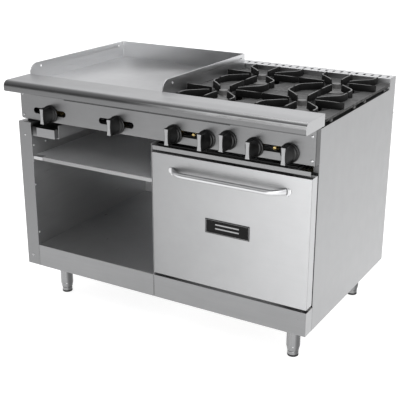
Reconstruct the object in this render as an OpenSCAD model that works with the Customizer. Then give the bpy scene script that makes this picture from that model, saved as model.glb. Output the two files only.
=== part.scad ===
// Commercial gas range, 48 in wide: griddle over an open storage base on the left,
// four open burners over a 24 in oven on the right.
// Units are millimetres, +Z is up, the floor is z = 0 and -Y is the front.

/* [Body] */
// Width over the side panels
body_w = 1219.2; // [914:1:1524]
// Height of the leg under the body
leg_h = 152.4; // [100:1:200]
// Height of the cooking surface and of the ledge
cook_h = 910; // [860:1:940]
// Depth from the door front to the back panel
body_d = 763; // [650:1:850]
// Height of the side panels
side_h = 866.4; // [820:0.1:900]
// Height of the flue riser at the back
riser_h = 908.3; // [880:0.1:960]
// Front face of the flue riser, measured from the door front
riser_y = 698.4; // [640:0.1:740]
// Sheet thickness
sheet = 1.5; // [1:0.1:3]
// Top of the kick panels
kick_top = 240.5; // [200:0.5:260]

/* [Ledge and control panel] */
// How far the ledge stands out in front of the door
ledge_out = 66; // [40:1:100]
// Rear edge of the ledge
ledge_back = 78; // [60:1:100]
// Depth of the ledge nose
nose_h = 40; // [30:1:60]
// Front face of the control panel, behind the door front
panel_y = 21.5; // [0:0.5:40]
// Lower edge of the control panel
panel_z = 750.6; // [720:0.1:780]
// Height of the knob row
knob_z = 782.5; // [760:0.5:810]
// Radius of a knob's skirt
knob_r = 33.5; // [25:0.5:40]
// How far a knob stands out of the panel
knob_out = 52; // [30:1:60]
// Knob positions across the panel
griddle_knob_x = [-466.5, -160];
// Positions of the four burner knobs
burner_knob_x = [81, 211, 392, 519];
// Position of the oven thermostat
thermostat_x = 293; // [280:1:320]
// Height of the oven thermostat's knob
thermostat_z = 792; // [770:0.5:810]
// Length of a slot in the panel
slot_w = 153; // [100:1:180]
// Height of a slot in the panel
slot_h = 23; // [15:1:30]

/* [Griddle] */
// Thickness of the griddle plate
plate_t = 25; // [12:1:32]
// Height of the splash above the plate
splash_h = 68; // [60:0.1:150]
// Radius of the splash's front corner
splash_r = 38; // [10:1:60]
// Number of leg pairs in the griddle burners
u_legs = 2; // [1:1:3]

/* [Open burners] */
// Side of one grate
grate_w = 304.2; // [280:0.1:304.8]
// Thickness of a grate fin
fin_t = 7; // [6:0.5:12]
// Radius of a burner head
head_r = 44; // [35:1:48]

/* [Oven] */
// Width of the oven cavity
cavity_w = 508; // [450:1:520]
// Floor of the oven cavity
cavity_z0 = 300; // [280:1:320]
// Roof of the oven cavity
cavity_z1 = 660; // [600:1:670]
// Rear wall of the oven cavity
cavity_y1 = 645; // [600:1:650]
// Lower edge of the door
door_z0 = 251.2; // [245:0.1:260]
// Upper edge of the door
door_z1 = 712.2; // [690:0.1:714]
// Thickness of the door
door_t = 46; // [35:1:47]
// Radius of the handle tube
handle_r = 8.5; // [6:0.5:12]
// Height of the handle
handle_z = 662; // [600:1:690]
// Number of wires in the oven rack
rack_wires = 17; // [9:2:25]

/* [Legs] */
// Distance of a leg from the centre line
leg_x = 515.6; // [450:0.1:560]
// Front and rear leg positions, from the door front
leg_y = [118, 696];
// Radius of a leg tube
leg_r = 25; // [20:1:30]

/* [Hidden] */
half_w = body_w / 2;
inlet_out = 30;
y_mid = (body_d + inlet_out - ledge_out) / 2;
plate_z = cook_h + 38 - splash_h;
splash_top = plate_z + splash_h;
oven_x = 305;
cav_x0 = oven_x - cavity_w / 2;
cav_x1 = oven_x + cavity_w / 2;
hinge_y = 14;
hinge_z = 262;
man_y = 68;
man_z = 758;
man_r = 13.35;
run_x = 588;
burner_x = [152.4, 457.2];
burner_y = [241, 545.5];
flue_pitch = 31.15;
$fn = 48;

steel = [0.74, 0.75, 0.76];
dark = [0.12, 0.12, 0.13];
iron = [0.18, 0.18, 0.19];
cast = [0.42, 0.42, 0.43];
brass = [0.72, 0.58, 0.28];
aluminised = [0.6, 0.61, 0.62];
black = [0.05, 0.05, 0.055];
wool = [0.85, 0.8, 0.6];

// Shifts a sub-part from door-front coordinates to the middle of the object's depth
module placed() {
    translate([0, -y_mid, 0])
        children();
}

// Box given by its two limits on each axis
module box(x0, x1, y0, y1, z0, z1) {
    translate([x0, y0, z0])
        cube([x1 - x0, y1 - y0, z1 - z0]);
}

// Cylinder along X from x0 to x1
module rod_x(x0, x1, y, z, r) {
    translate([x0, y, z])
        rotate([0, 90, 0])
            cylinder(h = x1 - x0, r = r);
}

// Cylinder along Y from y0 to y1
module rod_y(x, y0, y1, z, r) {
    translate([x, y0, z])
        rotate([-90, 0, 0])
            cylinder(h = y1 - y0, r = r);
}

// Cylinder from one point to another at the same height
module rod_flat(a, b, z, r) {
    translate([a[0], a[1], z])
        rotate([0, 90, atan2(b[1] - a[1], b[0] - a[0])])
            cylinder(h = norm([b[0] - a[0], b[1] - a[1]]), r = r);
}

// Slot with round ends, centred, w long in X
module obround(w, h) {
    union() {
        square([w - h, h], center = true);
        translate([-(w - h) / 2, 0])
            circle(d = h);
        translate([(w - h) / 2, 0])
            circle(d = h);
    }
}

// Plate with a 2D outline in X and Z, front face at y
module front_plate(y, t) {
    translate([0, y + t, 0])
        rotate([90, 0, 0])
            linear_extrude(height = t)
                children();
}

// ---------- body ----------

module base_frame() {
    color(aluminised) placed() {
        difference() {
            box(-half_w + 1.7, half_w - 1.7, 1.8, body_d - 1.8, leg_h, leg_h + 38);
            box(-half_w + 4.7, half_w - 4.7, 4.8, body_d - 4.8, leg_h + 3, leg_h + 39);
            box(-half_w + 39.7, half_w - 39.7, 39.8, body_d - 39.8, leg_h - 1, leg_h + 4);
        }
        for (x = [-leg_x, 0, leg_x])
            difference() {
                box(x - 40, x + 40, 4.8, body_d - 4.8, leg_h, leg_h + 34);
                box(x - 37, x + 37, 4, body_d - 4, leg_h + 3, leg_h + 35);
            }
    }
}

module left_side_panel() {
    color(steel) placed() {
        box(-half_w, -half_w + sheet, 0, body_d, leg_h, 742.6);
        box(-half_w, -half_w + sheet, 51.5, body_d, 742.6, side_h);
        box(-half_w, -half_w + sheet, riser_y, body_d, side_h, riser_h);
        box(-half_w + sheet, -551, 0, sheet, leg_h, 742.6);
        box(-half_w + sheet, -590, 152, 686, plate_z - plate_t - 1.7, plate_z - plate_t - 0.2);
    }
}

module right_side_panel() {
    color(steel) placed() {
        box(half_w - sheet, half_w, 51.8, body_d, leg_h, side_h);
        box(half_w - sheet, half_w, riser_y, body_d, side_h, riser_h);
        box(590, half_w - sheet, 51.8, 53, kick_top, 750);
        box(588, half_w - sheet, 82, 690, side_h - sheet, side_h);
    }
}

module back_panel() {
    color(aluminised) placed()
        translate([0, body_d, 0])
            rotate([90, 0, 0])
                linear_extrude(height = sheet)
                    difference() {
                        translate([-half_w + sheet, leg_h])
                            square([body_w - 2 * sheet, riser_h - leg_h]);
                        translate([run_x, man_z])
                            circle(r = 20);
                        for (i = [-8 : 8])
                            translate([i * 64, 830])
                                obround(46, 8);
                    }
}

module storage_kick_panel() {
    color(steel) placed() {
        box(-551 + 0.5, -2, 0, sheet, leg_h, kick_top);
        box(-550.5, -2, sheet, 24, kick_top - 3.2, kick_top - 1.7);
    }
}

module oven_kick_panel() {
    color(steel) placed() {
        box(0, half_w, 0, sheet, leg_h, kick_top);
        box(half_w - sheet, half_w, sheet, 51.3, leg_h, kick_top);
        box(0, half_w - sheet, sheet, 24, kick_top - sheet, kick_top);
    }
}

module storage_liner() {
    color(steel) placed() {
        box(-552.7, -551.2, 1.8, body_d - 1.6, kick_top - 1.5, 742.5);
        box(-551.2, -2.2, 1.8, body_d - 1.6, kick_top - 1.5, kick_top);
        difference() {
            box(-551.2, -2.2, 52, 690, 741, 742.5);
            translate([-503, 115, 735])
                cylinder(h = 12, r = 21);
        }
    }
}

module centre_divider() {
    color(steel) placed()
        box(-2, -0.5, 0.3, body_d - 1.6, leg_h + 38.2, 742.5);
}

module storage_shelf() {
    color(steel) placed() {
        difference() {
            box(-550.6, -2.8, 4, 750, 610.5, 612);
            box(-551, -503, 3, 24, 600, 613);
        }
        front_plate(2.5, sheet)
            union() {
                translate([-495, 598])
                    square([492.2, 14]);
                translate([-503, 606])
                    square([9, 6]);
                translate([-495, 606])
                    circle(r = 8);
            }
    }
}

// Shelf angles on both walls and the two guides that carry the grease drawer
module storage_brackets() {
    color(steel) placed() {
        box(-551.1, -549.6, 4, 740, 585, 610.3);
        box(-549.6, -530, 25, 740, 608.8, 610.3);
        box(-549.6, -505, 3, 4.5, 598, 610.3);
        box(-3.7, -2.2, 10, 740, 585, 610.3);
        box(-23, -3.7, 10, 740, 608.8, 610.3);
        box(-551.1, -549.6, 8, 540, 685, 741);
        box(-549.6, -514, 20, 540, 690, 691.5);
        box(-549.6, -527, 6, 7.5, 690, 727);
        box(-433.5, -432, 20, 540, 690, 741);
        box(-446, -433.5, 20, 540, 690, 691.5);
    }
}

// Outline of the ledge nose, shrunk by i
module nose_outline(i) {
    yf = -ledge_out + i;
    zb = cook_h - nose_h + i;
    zt = cook_h - i;
    rt = 14 - i;
    rb = 8 - i;
    union() {
        translate([yf + rt, zb])
            square([ledge_back - yf - rt, zt - zb]);
        translate([yf, zb + rb])
            square([rt, zt - rt - zb - rb]);
        translate([yf + rb, zb])
            square([rt - rb, rb]);
        translate([yf + rt, zt - rt])
            circle(r = rt);
        translate([yf + rb, zb + rb])
            circle(r = rb);
    }
}

module front_ledge() {
    color(steel) placed() {
        translate([-half_w, 0, 0])
            rotate([90, 0, 90])
                linear_extrude(height = body_w)
                    union() {
                        difference() {
                            nose_outline(0);
                            nose_outline(sheet);
                            translate([51, cook_h - nose_h - 1])
                                square([ledge_back, nose_h - 1]);
                        }
                        translate([ledge_back - sheet, 884])
                            square([sheet, cook_h - 884]);
                    }
        for (x = [-half_w, half_w - sheet])
            translate([x, 0, 0])
                rotate([90, 0, 90])
                    linear_extrude(height = sheet)
                        nose_outline(0);
    }
}

module control_panel() {
    x0 = -half_w;
    top = cook_h - nose_h - 0.1;
    color(steel) placed() {
        front_plate(panel_y, sheet)
            difference() {
                union() {
                    translate([x0 + 8, panel_z])
                        square([half_w - x0 - 8, top - panel_z]);
                    translate([x0, panel_z + 8])
                        square([9, top - panel_z - 8]);
                    translate([x0 + 8, panel_z + 8])
                        circle(r = 8);
                }
                for (x = griddle_knob_x)
                    translate([x - 5, knob_z + 5])
                        obround(slot_w, slot_h);
                for (x = [147, 456])
                    translate([x, knob_z + 5])
                        obround(slot_w, slot_h);
                translate([thermostat_x, thermostat_z])
                    circle(r = 6);
            }
        box(half_w - sheet, half_w, panel_y + sheet, 51.3, panel_z, top);
        box(x0 + 10, half_w - sheet, panel_y + sheet, 45, panel_z, panel_z + sheet);
        box(x0, x0 + sheet, panel_y + sheet, 51.3, panel_z + 10, top);
    }
}

module screw_head(x, y, z) {
    rod_y(x, y - 2, y, z, 4.5);
}

module panel_screws() {
    color(aluminised) placed() {
        for (p = [[594, 846], [596, 766], [-598, 764], [-598, 846]])
            screw_head(p[0], panel_y, p[1]);
        for (p = [[-584, 191], [-580.5, 692]])
            screw_head(p[0], 0, p[1]);
    }
}

module flue_riser() {
    color(steel) placed() {
        translate([0, 0, riser_h - sheet])
            linear_extrude(height = sheet)
                difference() {
                    translate([-half_w + sheet, riser_y])
                        square([body_w - 2 * sheet, body_d - 1.6 - riser_y]);
                    for (i = [-19 : 19])
                        translate([-3 + i * flue_pitch, 732])
                            rotate([0, 0, 90])
                                obround(28, 10);
                }
        box(-half_w + sheet, half_w - sheet, riser_y, riser_y + sheet, 790, riser_h - sheet);
    }
}

// ---------- griddle ----------

module griddle_plate() {
    color([0.5, 0.5, 0.5]) placed()
        box(-604.6, -4.6, 150, 688, plate_z - plate_t, plate_z);
}

module splash_side() {
    difference() {
        union() {
            translate([80, plate_z - plate_t])
                square([611, splash_top - splash_r - plate_z + plate_t]);
            translate([80 + splash_r, splash_top - splash_r])
                square([611 - splash_r, splash_r]);
            translate([80 + splash_r, splash_top - splash_r])
                circle(r = splash_r);
        }
        translate([144, 931])
            circle(r = 4.25);
        translate([659, 931])
            circle(r = 4.25);
    }
}

module griddle_splash() {
    color(steel) placed() {
        for (x = [-607.6, -4.6])
            translate([x, 0, 0])
                rotate([90, 0, 90])
                    linear_extrude(height = 3)
                        splash_side();
        box(-604.6, -4.6, 688, 691, plate_z - plate_t, splash_top);
    }
}

module grease_trough() {
    color(aluminised) placed() {
        difference() {
            union() {
                difference() {
                    box(-604.6, -4.6, 82, 150, 806, plate_z);
                    box(-601.6, -7.6, 85, 147, 809, plate_z + 1);
                }
                translate([-503, 115, 729])
                    cylinder(h = 78, r = 18);
            }
            translate([-503, 115, 728])
                cylinder(h = 90, r = 15.5);
        }
    }
}

module grease_drawer() {
    color(aluminised) placed() {
        difference() {
            box(-523, -437, 0.5, 500, 692.2, 727);
            box(-521.5, -438.5, 2, 498.5, 693.7, 728);
        }
    }
}

// Two U-shaped tubes under the plate, each with its own mixer mouth
module griddle_burners() {
    color(aluminised) placed() {
        for (i = [0, 1]) {
            c = [-454.6, -154.6][i];
            k = griddle_knob_x[i];
            difference() {
                union() {
                    rod_x(c - 92, c + 92, 190, 790, 15);
                    rod_y(c - 75, 190, 640, 790, 12.5);
                    rod_y(c + 75, 190, 640, 790, 12.5);
                    rod_y(k, 152, 190, 790, 13.5);
                    for (x = [c - 75, c + 75])
                        for (y = [230, 620])
                            translate([x, y, 742.6])
                                cylinder(h = 40, r = 5);
                }
                rod_y(k, 150, 172, 790, 11);
            }
        }
    }
}

// ---------- open burners ----------

// Inner walls, crumb tray ledges, burner bars and grate supports of the burner box
module burner_box_frame() {
    color(aluminised) placed() {
        difference() {
            union() {
                box(1, 2.5, 82, 690, 721.5, side_h - 0.3);
                box(-20, 2, 152, 686, plate_z - plate_t - 1.7, plate_z - plate_t - 0.2);
                box(2.5, 23, 82, 690, side_h - 1.8, side_h - 0.3);
                box(2.5, 16, 60, 676, 721.5, 723);
                box(566, 567.5, 82, 690, 721.5, side_h - 1.8);
                box(567.5, 587, 82, 690, side_h - 3.3, side_h - 1.8);
                box(554, 566, 60, 676, 721.5, 723);
                box(2.5, 566, 82, 83.5, 812, side_h - 0.3);
                box(2.5, 566, 688.5, 690, 750, side_h - 0.3);
                box(297, 312.6, 83.5, 688.5, 846, side_h - 0.3);
                for (y = burner_y)
                    box(2.5, 566, y - 15, y + 15, 758, 770);
            }
        }
    }
}

module crumb_tray() {
    color(steel) placed() {
        difference() {
            box(18, 552, 1.5, 670, 724, 744);
            box(19.2, 550.8, 12, 668.8, 725.2, 745);
            box(17, 553, 1, 11, 725.2, 745);
        }
        box(4, 603, 0, 1.5, 722, 737);
    }
}

// Four castings: an upright seat under each head and a mixer tube to its valve
module burner_bases() {
    color(cast) placed() {
        for (i = [0, 1])
            for (j = [0, 1]) {
                x = burner_x[i];
                y = burner_y[j];
                k = burner_knob_x[2 * i + j];
                difference() {
                    union() {
                        translate([x, y, 770])
                            cylinder(h = 70, r = 24);
                        translate([x, y, 840])
                            cylinder(h = 16, r1 = 24, r2 = 38);
                        translate([x, y, 856])
                            cylinder(h = 6, r = 38);
                        if (j == 0)
                            rod_flat([k, 100], [x, y], 788, 13);
                        if (j == 1) {
                            rod_y(k, 100, 470, 788, 13);
                            translate([k, 470, 788])
                                sphere(r = 16);
                            rod_flat([k, 470], [x, y], 788, 13);
                        }
                    }
                    rod_y(k, 90, 128, 788, 9);
                    translate([x, y, 800])
                        cylinder(h = 70, r = 18);
                }
            }
    }
}

// Head that lifts off its base, with ports around the rim and a raised boss
module burner_head(i, j) {
    color(cast) placed()
        translate([burner_x[i], burner_y[j], 862.3])
            difference() {
                union() {
                    translate([0, 0, -8])
                        cylinder(h = 8, r = 17);
                    cylinder(h = 13, r = head_r);
                    translate([0, 0, 13])
                        cylinder(h = 6, r1 = head_r, r2 = 30);
                    translate([0, 0, 19])
                        cylinder(h = 22, r = 16.5);
                }
                for (a = [0 : 30 : 359])
                    rotate([0, 0, a])
                        translate([head_r + 2, 0, 7])
                            rotate([0, -90, 0])
                                cylinder(h = 9, r = 2);
            }
}

// Curved fin: a diagonal root, an elbow and a straight run along Y
module curved_fin(h0, h1) {
    t = fin_t / 2;
    translate([0, 0, h0])
        linear_extrude(height = h1 - h0)
            difference() {
                union() {
                    rotate([0, 0, 45])
                        translate([52, -t])
                            square([48, fin_t]);
                    intersection() {
                        difference() {
                            translate([50, 122])
                                circle(r = 52 + t);
                            translate([50, 122])
                                circle(r = 52 - t);
                        }
                        translate([76, 66])
                            square([40, 56]);
                    }
                    translate([102 - t, 121])
                        square([fin_t, grate_w / 2 - 121]);
                }
                translate([60, 152.1])
                    square([60, 20]);
            }
}

module grate(i, j) {
    z0 = 880;
    z1 = 886;
    g = grate_w / 2;
    color(iron) placed()
        translate([burner_x[i], burner_y[j], 0]) {
            difference() {
                union() {
                    translate([-g, -g, z0])
                        cube([grate_w, grate_w, z1 - z0]);
                    translate([-g, -g, z1])
                        cube([grate_w, grate_w, 3]);
                }
                translate([-g + 7, -g + 7, z1])
                    cube([grate_w - 14, grate_w - 14, 4]);
                translate([0, 0, z0 - 1])
                    cylinder(h = 8, r = 62);
            }
            difference() {
                translate([0, 0, z0 - 8])
                    cylinder(h = 14, r1 = 54, r2 = 68);
                translate([0, 0, z0 - 9])
                    cylinder(h = 16, r1 = 50, r2 = 63);
            }
            for (s = [0, 180])
                rotate([0, 0, s]) {
                    translate([-fin_t / 2, 50, z1 - 1])
                        cube([fin_t, g - 50, cook_h - z1 + 1]);
                    translate([50, -fin_t / 2, z1 - 1])
                        cube([g - 50, fin_t, cook_h - z1 + 1]);
                }
            for (mx = [0, 1])
                for (my = [0, 1])
                    mirror([mx, 0, 0])
                        mirror([0, my, 0])
                            curved_fin(z1 - 1, cook_h);
            for (x = [-1, 1])
                for (y = [-102, 102])
                    translate([x * (g - 5.5) - 4, y - 8, side_h + 0.3])
                        cube([8, 16, z0 - side_h]);
        }
}

// ---------- gas ----------

module gas_manifold() {
    color(dark) placed() {
        difference() {
            union() {
                rod_x(-560, run_x, man_y, man_z, man_r);
                rod_y(run_x, man_y, body_d + 4, man_z, 12.6);
                rod_y(run_x, body_d + 3, body_d + inlet_out, man_z, man_r);
                translate([run_x, man_y, man_z])
                    sphere(r = 15.5);
                rod_x(-566, -546, man_y, man_z, 15);
            }
            rod_x(-550, run_x, man_y, man_z, 10.4);
            rod_y(run_x, man_y, body_d + inlet_out + 1, man_z, 10.4);
        }
    }
}

module valve(x) {
    difference() {
        union() {
            rod_y(x, 38, 92, knob_z, 10.2);
            rod_y(x, 84, 96, knob_z + 2, 7);
            translate([x, man_y, man_z + man_r - 0.4])
                cylinder(h = 8, r = 5.5);
        }
        rod_y(x, 37, 54, knob_z, 4.4);
    }
}

// Six burner valves and four pilot valves on top of the manifold
module gas_valves() {
    color(brass) placed()
        difference() {
            union() {
                for (x = griddle_knob_x) {
                    valve(x);
                    rod_y(x, 92, 148, knob_z + 6, 3.2);
                }
                for (x = burner_knob_x)
                    valve(x);
                for (x = [-430, -204, 147, 455]) {
                    rod_y(x, 40, 74, knob_z, 5.5);
                    translate([x, man_y, man_z + man_r - 0.3])
                        cylinder(h = 8, r = 4);
                }
            }
            rod_x(-570, run_x, man_y, man_z, man_r + 0.05);
        }
}

// Supply tube, safety valve and orifice that feed the oven burner
module oven_gas_line() {
    color(aluminised) placed() {
        translate([run_x, 110, 268])
            cylinder(h = man_z - man_r - 268 - 0.2, r = 6);
        translate([run_x, 110, 268])
            sphere(r = 8);
        rod_x(540, run_x, 110, 268, 6);
        rod_x(524, 541, 110, 268, 9);
    }
}

module oven_thermostat() {
    color(dark) placed() {
        difference() {
            box(thermostat_x - 20, thermostat_x + 20, 34, 80, 772.5, 812);
            rod_y(thermostat_x, 33, 54, thermostat_z, 4.4);
        }
        rod_x(230, 380, 630, 646, 4.5);
    }
}

// ---------- oven ----------

module oven_front_frame() {
    color(steel) placed()
        difference() {
            box(0.2, half_w - sheet - 0.3, 50, 51.4, 243, 720);
            box(cav_x0, cav_x1, 49, 53, cavity_z0, cavity_z1);
        }
}

module oven_liner() {
    color(aluminised) placed()
        difference() {
            box(cav_x0 - sheet, cav_x1 + sheet, 51.6, cavity_y1 + sheet, 243.5, cavity_z1 + sheet);
            box(cav_x0, cav_x1, 50, cavity_y1, 245, cavity_z1);
            box(216, 394, 640, 650, 626.5, 658);
            rod_x(550, 570, 110, 268, 8);
        }
}

module oven_insulation() {
    color(wool) placed()
        difference() {
            box(0, 606.5, 53.3, 690, 243.5, 718);
            box(cav_x0 - 1.8, cav_x1 + 1.8, 50, cavity_y1 + 1.8, 240, cavity_z1 + 1.8);
            box(213, 397, 640, 700, 623, 667);
            box(578, 598, 100, 120, 240, 720);
            rod_x(555, 590, 110, 268, 10);
        }
}

module oven_deck() {
    color(aluminised) placed()
        difference() {
            union() {
                box(cav_x0 + 1, cav_x1 - 1, 56, cavity_y1 - 2, 297, 299);
                box(cav_x0 + 1, cav_x1 - 1, 56, 57.5, 285, 297);
                box(cav_x0 + 1, cav_x1 - 1, cavity_y1 - 4, cavity_y1 - 2, 285, 297);
            }
            for (i = [0 : 7])
                for (x = [cav_x0 + 22, cav_x1 - 22])
                    translate([x, 110 + i * 65, 290])
                        cylinder(h = 12, r = 9);
        }
}

module oven_burner() {
    color(aluminised) placed()
        difference() {
            union() {
                rod_y(oven_x, 110, 560, 268, 16);
                rod_x(oven_x, 520, 110, 268, 11);
                translate([oven_x, 110, 268])
                    sphere(r = 16);
                for (y = [150, 540])
                    translate([oven_x, y, 245])
                        cylinder(h = 12, r = 6);
            }
            rod_x(500, 521, 110, 268, 8.5);
        }
}

module rack_guides() {
    color(aluminised) placed()
        for (s = [0, 1])
            translate([oven_x, 0, 0])
                mirror([s, 0, 0])
                    translate([-cavity_w / 2, 0, 0]) {
                        for (y = [90, 330, 600])
                            box(0, 2, y, y + 14, 330, 590);
                        for (z = [372, 460, 548])
                            box(2, 13, 80, 630, z, z + 2);
                        for (z = [372, 460, 548])
                            box(2, 3.5, 80, 630, z - 12, z);
                    }
}

module oven_rack() {
    z = 466;
    w = cavity_w / 2 - 5;
    color(steel) placed()
        translate([oven_x, 0, z]) {
            for (x = [-w + 3, w - 3])
                rod_y(x, 127, 633, 0, 3.5);
            for (y = [133, 627])
                rod_x(-w + 3, w - 3, y, 0, 3);
            rod_x(-w + 3, w - 3, 380, 0, 2.9);
            for (i = [1 : rack_wires])
                rod_y(-w + 3 + i * (2 * w - 6) / (rack_wires + 1), 128, 632, 4.2, 2.2);
        }
}

module oven_flue() {
    color(aluminised) placed()
        difference() {
            union() {
                box(216.5, 393.5, cavity_y1 + 1.8, 755, 627, 657.5);
                box(216.5, 393.5, 702, 755, 627, 850);
            }
            box(218, 392, cavity_y1, 753.5, 628.5, 656);
            box(218, 392, 703.5, 753.5, 628.5, 851);
        }
}

// ---------- door ----------

// Corner notches that clear the fixed hinge arms
module hinge_notches() {
    for (s = [0, 1])
        translate([oven_x, 0, 0])
            mirror([s, 0, 0])
                translate([-oven_x, 0, 0])
                    box(8, 20, 4, 60, door_z0 - 1, 272);
}

module door_outer_panel() {
    color(steel) placed()
        difference() {
            box(2, 608, 0, door_t - 1.8, door_z0, door_z1);
            box(3.5, 606.5, sheet, door_t, door_z0 + sheet, door_z1 - sheet);
            hinge_notches();
        }
}

module door_inner_panel() {
    color(aluminised) placed()
        difference() {
            union() {
                box(2, 608, door_t - 1.6, door_t, door_z0, door_z1);
                box(62, 548, door_t, door_t + 2.5, 312, 648);
                for (x = [21, 585])
                    box(x, x + 4, 5, door_t - 1.6, 254, 280);
            }
            hinge_notches();
            rod_x(20, 30, hinge_y, hinge_z, 4.3);
            rod_x(580, 590, hinge_y, hinge_z, 4.3);
        }
}

module door_insulation() {
    color(wool) placed()
        difference() {
            box(3.8, 606.2, 2, door_t - 2, 253, 710.4);
            box(3, 36, 1, 50, 250, 286);
            box(574, 607, 1, 50, 250, 286);
        }
}

module door_handle() {
    y = -36;
    color(steel) placed() {
        rod_x(130, 480, y, handle_z, handle_r);
        for (s = [0, 1])
            translate([oven_x, 0, 0])
                mirror([s, 0, 0])
                    translate([-oven_x, 0, 0]) {
                        translate([130, y, handle_z])
                            sphere(r = handle_r);
                        difference() {
                            rod_flat([130, y], [82, 4], handle_z, handle_r);
                            box(60, 120, -0.1, 20, handle_z - 20, handle_z + 20);
                        }
                        rod_y(88, -3, -0.1, handle_z, 13);
                    }
    }
}

module badge_plate() {
    color(black) placed()
        box(219, 391, -1.6, -0.1, 455, 508);
}

// Two fixed arms with pins that the door turns on
module door_hinges() {
    color(dark) placed()
        for (s = [0, 1])
            translate([oven_x, 0, 0])
                mirror([s, 0, 0])
                    translate([-oven_x, 0, 0]) {
                        box(12, 16, hinge_y, 50, hinge_z - 6, hinge_z + 6);
                        rod_x(12, 16, hinge_y, hinge_z, 8);
                        rod_x(14, 27, hinge_y, hinge_z, 4);
                        box(9.5, 18.5, 48.6, 50, 252, 285);
                    }
}

// ---------- knobs ----------

module knob(x, z = knob_z) {
    y = panel_y - 0.4;
    color(black) placed() {
        rod_y(x, y - 5, y, z, knob_r);
        translate([x, y - 5, z])
            rotate([90, 0, 0])
                cylinder(h = 13, r1 = 29, r2 = 26.5);
        box(x - 9, x + 9, panel_y - knob_out, y - 10, z - 29, z + 29);
        rod_y(x, y - 1, 52, z, 4);
    }
}

// ---------- legs ----------

module leg_place(i, j) {
    translate([[-leg_x, leg_x][i], leg_y[j], 0])
        children();
}

module legs() {
    color(steel) placed()
        for (i = [0, 1])
            for (j = [0, 1])
                leg_place(i, j)
                    difference() {
                        union() {
                            translate([0, 0, 35])
                                cylinder(h = leg_h - 35, r = leg_r);
                            translate([0, 0, 22])
                                cylinder(h = 13, r1 = leg_r - 4, r2 = leg_r);
                        }
                        translate([0, 0, 40])
                            cylinder(h = leg_h - 46, r = leg_r - 3);
                        translate([0, 0, 21])
                            cylinder(h = 20, r = 10.4);
                    }
}

module foot(i, j) {
    color(steel) placed()
        leg_place(i, j) {
            cylinder(h = 4, r1 = 17, r2 = 20.5);
            translate([0, 0, 4])
                cylinder(h = 17.6, r = 20.5);
            translate([0, 0, 20])
                cylinder(h = 50, r = 10);
        }
}

base_frame();
left_side_panel();
right_side_panel();
back_panel();
storage_kick_panel();
oven_kick_panel();
storage_liner();
centre_divider();
storage_shelf();
storage_brackets();
front_ledge();
control_panel();
panel_screws();
flue_riser();
griddle_plate();
griddle_splash();
grease_trough();
grease_drawer();
griddle_burners();
burner_box_frame();
crumb_tray();
burner_bases();
burner_head(0, 0);  // burner_head_front_left
burner_head(0, 1);  // burner_head_rear_left
burner_head(1, 0);  // burner_head_front_right
burner_head(1, 1);  // burner_head_rear_right
grate(0, 0);  // grate_front_left
grate(0, 1);  // grate_rear_left
grate(1, 0);  // grate_front_right
grate(1, 1);  // grate_rear_right
gas_manifold();
gas_valves();
oven_gas_line();
oven_thermostat();
oven_front_frame();
oven_liner();
oven_insulation();
oven_deck();
oven_burner();
rack_guides();
oven_rack();
oven_flue();
door_outer_panel();
door_inner_panel();
door_insulation();
door_handle();
badge_plate();
door_hinges();
knob(griddle_knob_x[0]);  // griddle_knob_left
knob(griddle_knob_x[1]);  // griddle_knob_right
knob(burner_knob_x[0]);  // burner_knob_front_left
knob(burner_knob_x[1]);  // burner_knob_rear_left
knob(thermostat_x, thermostat_z);  // oven_thermostat_knob
knob(burner_knob_x[2]);  // burner_knob_front_right
knob(burner_knob_x[3]);  // burner_knob_rear_right
legs();
foot(0, 0);  // foot_front_left
foot(1, 0);  // foot_front_right
foot(0, 1);  // foot_rear_left
foot(1, 1);  // foot_rear_right
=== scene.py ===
"""Commercial gas range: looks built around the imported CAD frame.

Lengths are in mm unless a name or comment says otherwise. P(x, y, z) turns mm, with y measured back from the oven
door's face, into frame coordinates. CAD nodes keep their meshes and get materials; knobs, grates, burner heads,
handle, badge, screws, ledge and legs are replaced by finer pieces on the same bodies.
"""

import math

import bpy
import bmesh
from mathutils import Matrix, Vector


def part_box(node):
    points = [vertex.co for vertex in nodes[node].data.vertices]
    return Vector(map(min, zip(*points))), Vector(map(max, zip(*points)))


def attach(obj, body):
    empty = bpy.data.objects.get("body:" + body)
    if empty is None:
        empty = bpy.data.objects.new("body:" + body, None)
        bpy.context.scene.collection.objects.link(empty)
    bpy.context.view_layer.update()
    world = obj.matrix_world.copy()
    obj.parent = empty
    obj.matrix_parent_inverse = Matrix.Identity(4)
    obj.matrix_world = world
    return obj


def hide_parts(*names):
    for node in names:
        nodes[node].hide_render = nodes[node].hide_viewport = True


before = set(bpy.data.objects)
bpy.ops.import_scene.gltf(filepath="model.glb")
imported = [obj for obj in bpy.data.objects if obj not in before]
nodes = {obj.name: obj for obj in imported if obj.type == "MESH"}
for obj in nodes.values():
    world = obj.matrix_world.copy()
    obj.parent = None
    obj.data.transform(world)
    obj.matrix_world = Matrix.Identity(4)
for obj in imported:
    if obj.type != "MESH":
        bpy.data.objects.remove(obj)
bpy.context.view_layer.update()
MM = 0.001                         # metres in a millimetre
Y_MID = 363.5                      # door face to frame origin, mm
BACK_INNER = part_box("back_panel")[0][1] / MM + Y_MID     # inner face of the back panel


# ---------------------------------------------------------------- materials

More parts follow.
